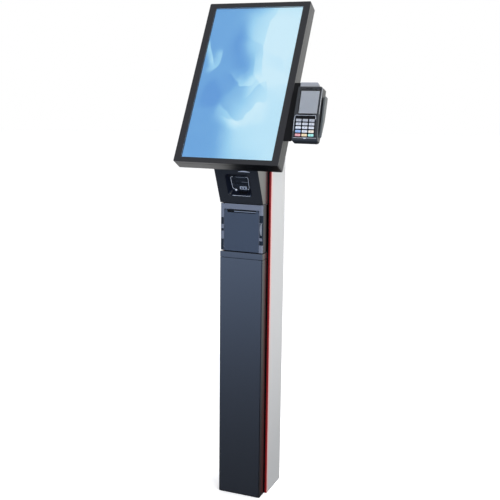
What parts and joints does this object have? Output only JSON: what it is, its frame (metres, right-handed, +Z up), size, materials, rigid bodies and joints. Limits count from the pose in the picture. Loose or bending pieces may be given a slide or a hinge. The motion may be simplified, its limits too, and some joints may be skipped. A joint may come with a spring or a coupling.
{
  "type": "self-service kiosk with card payment terminal",
  "caption": "Floor-standing self-service kiosk: slim column, tilted touch display, scanner, receipt printer and a tilting card payment terminal with keypad and swipe slot.",
  "frame": {"origin": "centre of the column's footprint, on the floor", "axes": "+X to the kiosk's right as its user faces it, +Y to its back, +Z up"},
  "size_m": [0.4586, 0.3148, 1.6291],
  "materials": {
    "paint_anthracite": "satin anthracite powder coat",
    "paint_dark": "satin dark grey powder coat",
    "paint_light": "fine matt light grey powder coat",
    "paint_red": "satin dark red",
    "paint_bezel": "matt graphite",
    "paint_black": "matt black",
    "base_steel": "black ballast plate",
    "printer_shell": "fine moulded grain",
    "printer_door": "fine moulded grain",
    "plastic_grey": "moulded",
    "plastic_black": "fine moulded grain",
    "plastic_gloss": "polished",
    "screen_glass": "clear cover glass",
    "screen_panel": "backlit picture",
    "lcd_grey": "small display",
    "steel": "brushed",
    "alu": "cast and machined",
    "rubber": "ground rubber",
    "paper": "thermal paper",
    "board": "circuit board",
    "key_grey": "silicone",
    "key_blue": "silicone",
    "key_peach": "silicone",
    "key_red": "silicone",
    "key_amber": "silicone",
    "key_green": "silicone"
  },
  "bodies": {
    "kiosk": {"base_plate": "base_steel", "rear_column": "paint_light", "accent_strip_left": "paint_red", "accent_strip_right": "paint_red", "front_chassis": "paint_dark", "door_hinge_pin": "steel", "trim_band": "paint_anthracite", "computer_module": "alu", "power_supply": "alu", "mains_inlet": "plastic_black", "printer_frame": "printer_shell", "printer_door_pin": "steel", "paper_spindle": "plastic_black", "printer_motor": "steel", "print_head": "plastic_black", "tear_bar": "steel", "wedge_housing": "paint_anthracite", "scanner_bezel": "plastic_grey", "scanner_window": "plastic_gloss", "scanner_engine": "plastic_grey", "display_bezel": "paint_bezel", "display_rear_housing": "paint_bezel", "touch_glass": "screen_glass", "lcd_panel": "screen_panel", "display_controller": "board", "display_mount_plate": "steel", "terminal_bracket": "paint_black", "tilt_pin": "steel"},
    "front_door": {"front_door": "paint_anthracite"},
    "printer_door": {"printer_door": "printer_door"},
    "release_lever": {"release_lever": "plastic_grey"},
    "paper_roll": {"paper_roll": "paper"},
    "platen": {"platen_roller": "rubber", "platen_gear": "plastic_black"},
    "pinion": {"drive_pinion": "steel"},
    "power_rocker": {"power_rocker": "plastic_gloss"},
    "terminal": {"terminal_cradle": "plastic_grey", "terminal_front_casing": "plastic_black", "terminal_rear_casing": "plastic_black", "terminal_lens": "plastic_gloss", "terminal_lcd": "lcd_grey", "keypad_surround": "plastic_black", "terminal_board": "board", "chip_reader": "steel", "swipe_reader": "plastic_black"},
    "key_1": {"key_1": "key_grey"},
    "key_2": {"key_2": "key_grey"},
    "key_3": {"key_3": "key_grey"},
    "key_4": {"key_4": "key_grey"},
    "key_5": {"key_5": "key_grey"},
    "key_6": {"key_6": "key_grey"},
    "key_7": {"key_7": "key_grey"},
    "key_8": {"key_8": "key_grey"},
    "key_9": {"key_9": "key_grey"},
    "key_star": {"key_star": "key_blue"},
    "key_0": {"key_0": "key_grey"},
    "key_hash": {"key_hash": "key_peach"},
    "key_cancel": {"key_cancel": "key_red"},
    "key_clear": {"key_clear": "key_amber"},
    "key_enter": {"key_enter": "key_green"}
  },
  "joints": [
    {"name": "front_door_swing", "type": "hinge", "parent": "kiosk", "child": "front_door", "pos_m": [-0.0675, -0.0795, 0.41], "axis": [0, 0, -1], "range_deg": [0, 90]},
    {"name": "printer_door_drop", "type": "hinge", "parent": "kiosk", "child": "printer_door", "pos_m": [0, -0.0795, 0.8495], "axis": [1, 0, 0], "range_deg": [0, 80]},
    {"name": "release_lever_slide", "type": "slide", "parent": "kiosk", "child": "release_lever", "axis": [0, 0, -1], "range_m": [0, 0.005], "stiffness_N_per_m": 150, "springref_m": -0.004},
    {"name": "paper_roll_spin", "type": "hinge", "parent": "kiosk", "child": "paper_roll", "pos_m": [0, -0.022, 0.897], "axis": [1, 0, 0], "continuous": true},
    {"name": "platen_spin", "type": "hinge", "parent": "kiosk", "child": "platen", "pos_m": [0, -0.07, 0.96], "axis": [1, 0, 0], "continuous": true},
    {"name": "pinion_spin", "type": "hinge", "parent": "kiosk", "child": "pinion", "pos_m": [0, -0.07, 0.9438], "axis": [1, 0, 0], "continuous": true},
    {"name": "power_rocker_tip", "type": "hinge", "parent": "kiosk", "child": "power_rocker", "pos_m": [0.014, 0.082, 0.075], "axis": [1, 0, 0], "range_deg": [0, 15]},
    {"name": "terminal_tilt", "type": "hinge", "parent": "kiosk", "child": "terminal", "pos_m": [0.21, -0.11424, 1.27313], "axis": [1, 0, 0], "range_deg": [-10, 15]},
    {"name": "key_1_press", "type": "slide", "parent": "terminal", "child": "key_1", "axis": [0, 0.9829, -0.1842], "range_m": [0, 0.0012], "stiffness_N_per_m": 400, "springref_m": -0.0012},
    {"name": "key_2_press", "type": "slide", "parent": "terminal", "child": "key_2", "axis": [0, 0.9829, -0.1842], "range_m": [0, 0.0012], "stiffness_N_per_m": 400, "springref_m": -0.0012},
    {"name": "key_3_press", "type": "slide", "parent": "terminal", "child": "key_3", "axis": [0, 0.9829, -0.1842], "range_m": [0, 0.0012], "stiffness_N_per_m": 400, "springref_m": -0.0012},
    {"name": "key_4_press", "type": "slide", "parent": "terminal", "child": "key_4", "axis": [0, 0.9829, -0.1842], "range_m": [0, 0.0012], "stiffness_N_per_m": 400, "springref_m": -0.0012},
    {"name": "key_5_press", "type": "slide", "parent": "terminal", "child": "key_5", "axis": [0, 0.9829, -0.1842], "range_m": [0, 0.0012], "stiffness_N_per_m": 400, "springref_m": -0.0012},
    {"name": "key_6_press", "type": "slide", "parent": "terminal", "child": "key_6", "axis": [0, 0.9829, -0.1842], "range_m": [0, 0.0012], "stiffness_N_per_m": 400, "springref_m": -0.0012},
    {"name": "key_7_press", "type": "slide", "parent": "terminal", "child": "key_7", "axis": [0, 0.9829, -0.1842], "range_m": [0, 0.0012], "stiffness_N_per_m": 400, "springref_m": -0.0012},
    {"name": "key_8_press", "type": "slide", "parent": "terminal", "child": "key_8", "axis": [0, 0.9829, -0.1842], "range_m": [0, 0.0012], "stiffness_N_per_m": 400, "springref_m": -0.0012},
    {"name": "key_9_press", "type": "slide", "parent": "terminal", "child": "key_9", "axis": [0, 0.9829, -0.1842], "range_m": [0, 0.0012], "stiffness_N_per_m": 400, "springref_m": -0.0012},
    {"name": "key_star_press", "type": "slide", "parent": "terminal", "child": "key_star", "axis": [0, 0.9829, -0.1842], "range_m": [0, 0.0012], "stiffness_N_per_m": 400, "springref_m": -0.0012},
    {"name": "key_0_press", "type": "slide", "parent": "terminal", "child": "key_0", "axis": [0, 0.9829, -0.1842], "range_m": [0, 0.0012], "stiffness_N_per_m": 400, "springref_m": -0.0012},
    {"name": "key_hash_press", "type": "slide", "parent": "terminal", "child": "key_hash", "axis": [0, 0.9829, -0.1842], "range_m": [0, 0.0012], "stiffness_N_per_m": 400, "springref_m": -0.0012},
    {"name": "key_cancel_press", "type": "slide", "parent": "terminal", "child": "key_cancel", "axis": [0, 0.9829, -0.1842], "range_m": [0, 0.0012], "stiffness_N_per_m": 400, "springref_m": -0.0012},
    {"name": "key_clear_press", "type": "slide", "parent": "terminal", "child": "key_clear", "axis": [0, 0.9829, -0.1842], "range_m": [0, 0.0012], "stiffness_N_per_m": 400, "springref_m": -0.0012},
    {"name": "key_enter_press", "type": "slide", "parent": "terminal", "child": "key_enter", "axis": [0, 0.9829, -0.1842], "range_m": [0, 0.0012], "stiffness_N_per_m": 400, "springref_m": -0.0012}
  ],
  "couplings": [
    {"joint": "pinion_spin", "follows": "platen_spin", "ratio": -1.6667}
  ]
}
